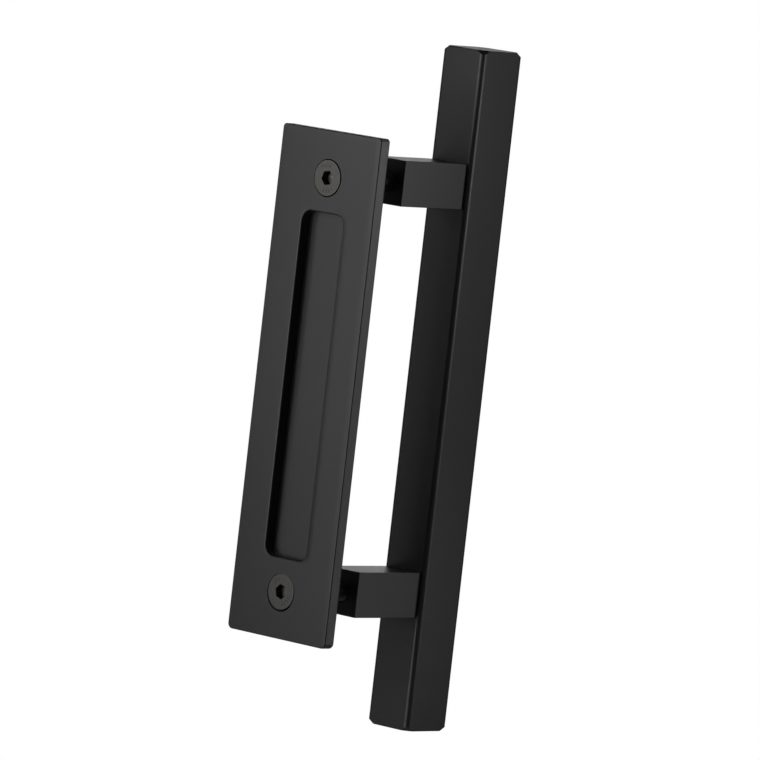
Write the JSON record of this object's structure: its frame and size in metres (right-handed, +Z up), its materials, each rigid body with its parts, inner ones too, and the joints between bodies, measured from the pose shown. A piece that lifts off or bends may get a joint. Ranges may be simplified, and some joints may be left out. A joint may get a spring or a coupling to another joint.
{
  "type": "bar handle set",
  "caption": "Two-sided door handle set: a square pull bar on square posts, bolted through the door by countersunk screws to a flush plate with a milled finger pocket.",
  "frame": {"origin": "middle of the flush plate's back face, where the plate lies on the door, half way between the two door screws", "axes": "+Z up along the pull bar, +Y through the door from the flush plate to the pull bar, +X across the door to the right seen from the pull bar's back"},
  "size_m": [0.06, 0.1, 0.3],
  "materials": {
    "powder_coat": "satin black powder coat with a fine even texture",
    "black_oxide": "black oxide over turned steel"
  },
  "bodies": {
    "root": {"flush_plate": "powder_coat", "pull_bar": "powder_coat", "upper_post": "powder_coat", "lower_post": "powder_coat", "upper_door_screw": "black_oxide", "lower_door_screw": "black_oxide", "upper_post_stud": "black_oxide", "lower_post_stud": "black_oxide"}
  },
  "joints": []
}
